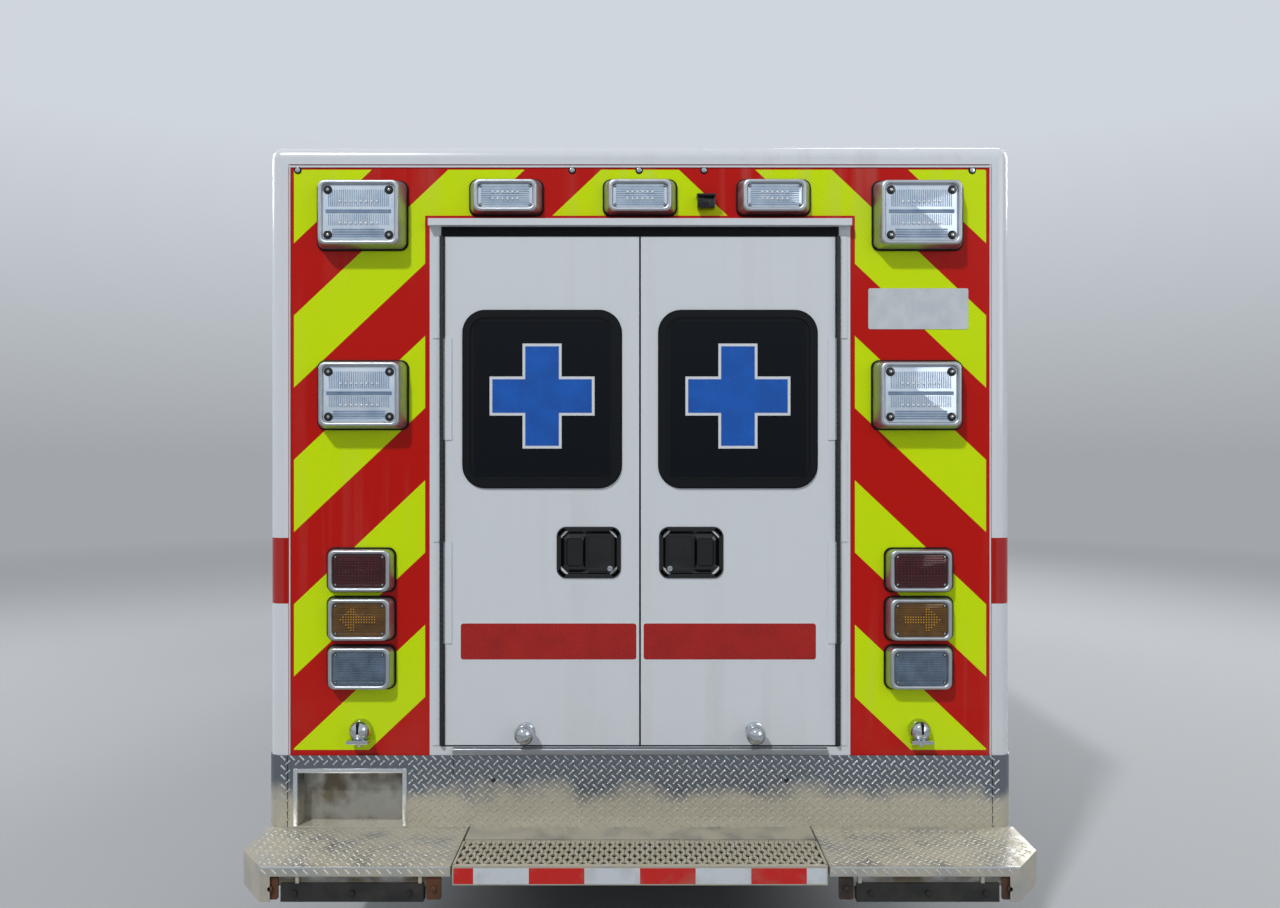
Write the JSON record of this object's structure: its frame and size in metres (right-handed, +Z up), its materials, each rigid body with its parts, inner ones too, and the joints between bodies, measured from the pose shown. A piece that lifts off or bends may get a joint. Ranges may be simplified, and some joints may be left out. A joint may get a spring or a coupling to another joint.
{
  "type": "box ambulance",
  "caption": "Box-bodied ambulance on a van-front chassis: hinged rear, side, locker and cab doors, hood, folding rear step, steered front wheels and twin rear wheels.",
  "frame": {"origin": "on the ground, in the middle of the vehicle's length and width", "axes": "+Y points to the nose, +X to the vehicle's right side, +Z up"},
  "size_m": [2.62, 7.1298, 2.764],
  "materials": {
    "white_body": "gloss white enamel",
    "cabin_floor": "satin sheet",
    "dark_glass": "tinted safety glass",
    "clear_glass": "clear safety glass",
    "chrome_trim": "polished",
    "lamp_lens": "ribbed clear, red and amber lenses",
    "tread_plate": "bright raised-bar tread plate",
    "grip_tread": "open grip tread",
    "rubber_buffer": "moulded black",
    "tyre": "moulded black",
    "wheel_steel": "bright wheel",
    "chassis_black": "satin black",
    "cast_block": "raw casting",
    "exhaust_steel": "dull",
    "black_plastic": "textured black",
    "dash_plastic": "grained grey",
    "seat_vinyl": "grey vinyl",
    "cabinet_laminate": "pale laminate over board"
  },
  "bodies": {
    "vehicle": {"box_roof": "white_body", "box_sides": "white_body", "locker_boxes": "cabin_floor", "box_floor": "cabin_floor", "box_ends": "white_body", "box_windows": "dark_glass", "door_hooks": "chrome_trim", "rear_kick_plate": "tread_plate", "rear_bumper": "tread_plate", "bumper_rubbers": "rubber_buffer", "lamp_bezels": "chrome_trim", "lamp_lenses": "lamp_lens", "cab_shell": "white_body", "windscreen": "clear_glass", "front_fenders": "white_body", "nose_panel": "white_body", "headlamps": "lamp_lens", "grille": "chrome_trim", "front_bumper": "chrome_trim", "frame_rails": "chassis_black", "rear_axle": "chassis_black", "front_axle": "chassis_black", "engine_block": "cast_block", "driveline": "cast_block", "fuel_tank": "chassis_black", "exhaust_pipe": "exhaust_steel", "running_boards": "tread_plate", "dashboard": "dash_plastic", "cab_seats": "seat_vinyl", "cabin_furniture": "cabinet_laminate"},
    "hood": {"hood": "white_body"},
    "cab_door_left": {"cab_door_left": "white_body", "cab_window_left": "clear_glass", "cab_mirror_left": "black_plastic"},
    "rear_door_left": {"rear_door_left": "white_body", "rear_window_left": "dark_glass", "door_fittings_left": "black_plastic"},
    "cab_door_right": {"cab_door_right": "white_body", "cab_window_right": "clear_glass", "cab_mirror_right": "black_plastic"},
    "rear_door_right": {"rear_door_right": "white_body", "rear_window_right": "dark_glass", "door_fittings_right": "black_plastic"},
    "side_door": {"side_door": "white_body", "side_door_window": "dark_glass"},
    "locker_door_front_left": {"locker_door_front_left": "white_body"},
    "locker_door_middle_left": {"locker_door_middle_left": "white_body"},
    "locker_door_rear_left": {"locker_door_rear_left": "white_body"},
    "locker_door_rear_right": {"locker_door_rear_right": "white_body"},
    "rear_step": {"rear_step": "grip_tread"},
    "knuckle_left": {"knuckle_left": "chassis_black"},
    "knuckle_right": {"knuckle_right": "chassis_black"},
    "front_wheel_left": {"front_tyre_left": "tyre", "front_rim_left": "wheel_steel"},
    "rear_wheels_left": {"rear_tyres_left": "tyre", "rear_rims_left": "wheel_steel"},
    "front_wheel_right": {"front_tyre_right": "tyre", "front_rim_right": "wheel_steel"},
    "rear_wheels_right": {"rear_tyres_right": "tyre", "rear_rims_right": "wheel_steel"}
  },
  "joints": [
    {"name": "hood_hinge", "type": "hinge", "parent": "vehicle", "child": "hood", "pos_m": [0, 2.648, 1.364], "axis": [1, 0, 0], "range_deg": [0, 60]},
    {"name": "cab_door_left_hinge", "type": "hinge", "parent": "vehicle", "child": "cab_door_left", "pos_m": [-1.008, 2.303, 1.2], "axis": [0, 0, -1], "range_deg": [0, 65]},
    {"name": "rear_door_left_hinge", "type": "hinge", "parent": "vehicle", "child": "rear_door_left", "pos_m": [-0.6495, -3.2625, 1.6], "axis": [0, 0, -1], "range_deg": [0, 150]},
    {"name": "cab_door_right_hinge", "type": "hinge", "parent": "vehicle", "child": "cab_door_right", "pos_m": [1.008, 2.303, 1.2], "axis": [0, 0, 1], "range_deg": [0, 65]},
    {"name": "rear_door_right_hinge", "type": "hinge", "parent": "vehicle", "child": "rear_door_right", "pos_m": [0.6495, -3.2625, 1.6], "axis": [0, 0, 1], "range_deg": [0, 150]},
    {"name": "side_door_hinge", "type": "hinge", "parent": "vehicle", "child": "side_door", "pos_m": [1.2265, 0.4275, 1.4], "axis": [0, 0, 1], "range_deg": [0, 95]},
    {"name": "locker_door_front_left_hinge", "type": "hinge", "parent": "vehicle", "child": "locker_door_front_left", "pos_m": [-1.2265, 0.9525, 1], "axis": [0, 0, -1], "range_deg": [0, 95]},
    {"name": "locker_door_middle_left_hinge", "type": "hinge", "parent": "vehicle", "child": "locker_door_middle_left", "pos_m": [-1.2265, 0.1825, 1], "axis": [0, 0, -1], "range_deg": [0, 95]},
    {"name": "locker_door_rear_left_hinge", "type": "hinge", "parent": "vehicle", "child": "locker_door_rear_left", "pos_m": [-1.2265, -1.9275, 1], "axis": [0, 0, -1], "range_deg": [0, 95]},
    {"name": "locker_door_rear_right_hinge", "type": "hinge", "parent": "vehicle", "child": "locker_door_rear_right", "pos_m": [1.2265, -1.9275, 1], "axis": [0, 0, 1], "range_deg": [0, 95]},
    {"name": "rear_step_pivot", "type": "hinge", "parent": "vehicle", "child": "rear_step", "pos_m": [0, -3.373, 0.522], "axis": [-1, 0, 0], "range_deg": [0, 90]},
    {"name": "steering_left", "type": "hinge", "parent": "vehicle", "child": "knuckle_left", "pos_m": [-0.772, 2.805, 0.372], "axis": [0, 0, 1], "range_deg": [-30, 30]},
    {"name": "steering_right", "type": "hinge", "parent": "vehicle", "child": "knuckle_right", "pos_m": [0.772, 2.805, 0.372], "axis": [0, 0, 1], "range_deg": [-30, 30]},
    {"name": "front_wheel_left_spin", "type": "hinge", "parent": "knuckle_left", "child": "front_wheel_left", "pos_m": [-0.85, 2.805, 0.372], "axis": [1, 0, 0], "continuous": true},
    {"name": "rear_wheels_left_spin", "type": "hinge", "parent": "vehicle", "child": "rear_wheels_left", "pos_m": [-0.925, -1.208, 0.372], "axis": [1, 0, 0], "continuous": true},
    {"name": "front_wheel_right_spin", "type": "hinge", "parent": "knuckle_right", "child": "front_wheel_right", "pos_m": [0.85, 2.805, 0.372], "axis": [1, 0, 0], "continuous": true},
    {"name": "rear_wheels_right_spin", "type": "hinge", "parent": "vehicle", "child": "rear_wheels_right", "pos_m": [0.925, -1.208, 0.372], "axis": [1, 0, 0], "continuous": true}
  ],
  "couplings": [
    {"joint": "steering_right", "follows": "steering_left", "ratio": 1}
  ]
}
